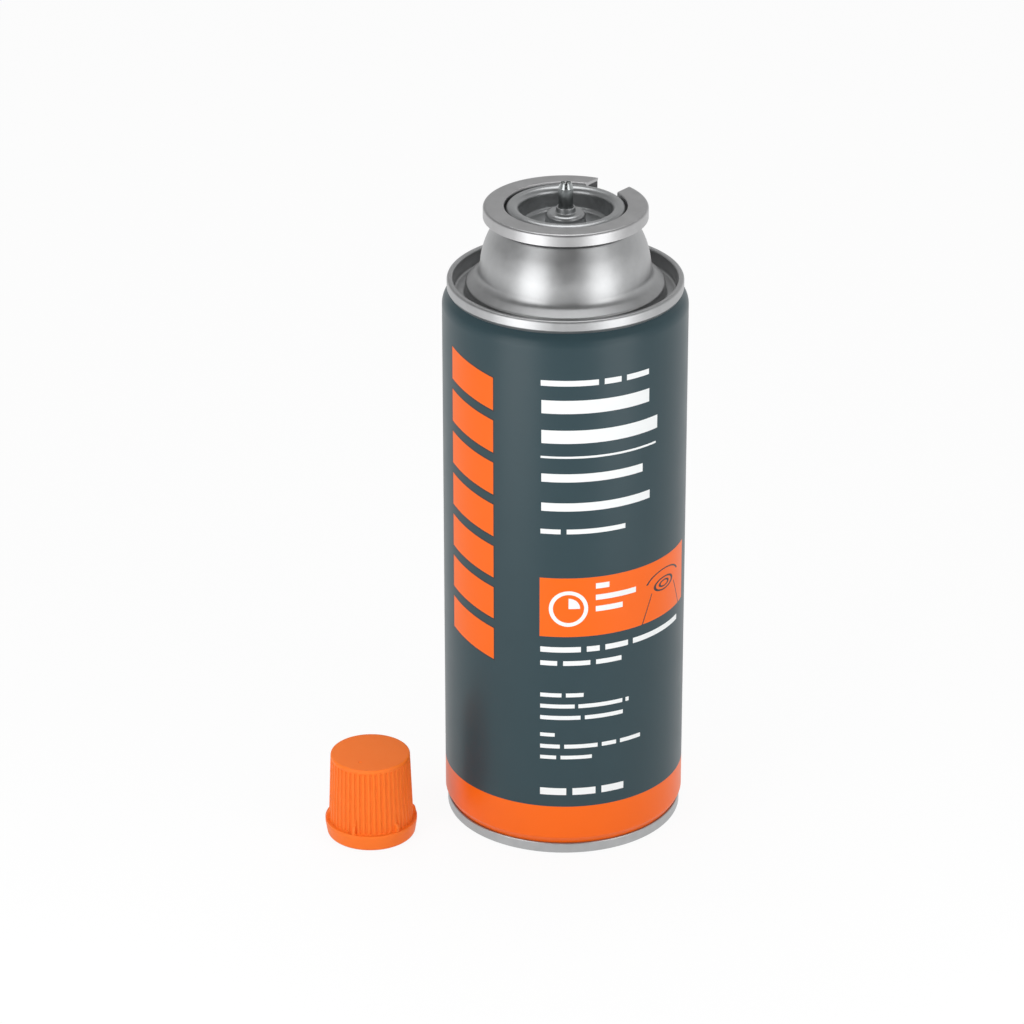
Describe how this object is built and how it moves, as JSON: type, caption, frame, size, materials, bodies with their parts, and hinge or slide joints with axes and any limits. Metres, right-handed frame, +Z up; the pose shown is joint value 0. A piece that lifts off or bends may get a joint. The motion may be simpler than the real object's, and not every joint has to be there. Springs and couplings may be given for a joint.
{
  "type": "fuel canister",
  "caption": "Slim pressurised gas can with a notched bayonet collar round a press-down valve stem, and its ribbed plastic cap standing beside it.",
  "frame": {"origin": "middle of the footprint of the can and its loose cap, at the level that both stand on", "axes": "+Z up, along the can's axis; +Y out of the collar's notch, seen from the can's axis; +X completes the right-handed frame"},
  "size_m": [0.0754, 0.094, 0.185],
  "materials": {
    "printed_tinplate": "satin slate print with an orange foot band, and bare tinplate at the seams and dome",
    "collar_steel": "satin pressed steel",
    "cup_tinplate": "smooth drawn tinplate",
    "stem_metal": "bright turned metal",
    "orange_plastic": "matt moulded"
  },
  "bodies": {
    "canister": {"sealed_can": "printed_tinplate", "collar": "collar_steel", "valve_cup": "cup_tinplate", "push_cap": "orange_plastic"},
    "valve": {"valve_stem": "stem_metal"}
  },
  "joints": [
    {"name": "valve_press", "type": "slide", "parent": "canister", "child": "valve", "axis": [0, 0, -1], "range_m": [0, 0.0016], "stiffness_N_per_m": 8000}
  ]
}
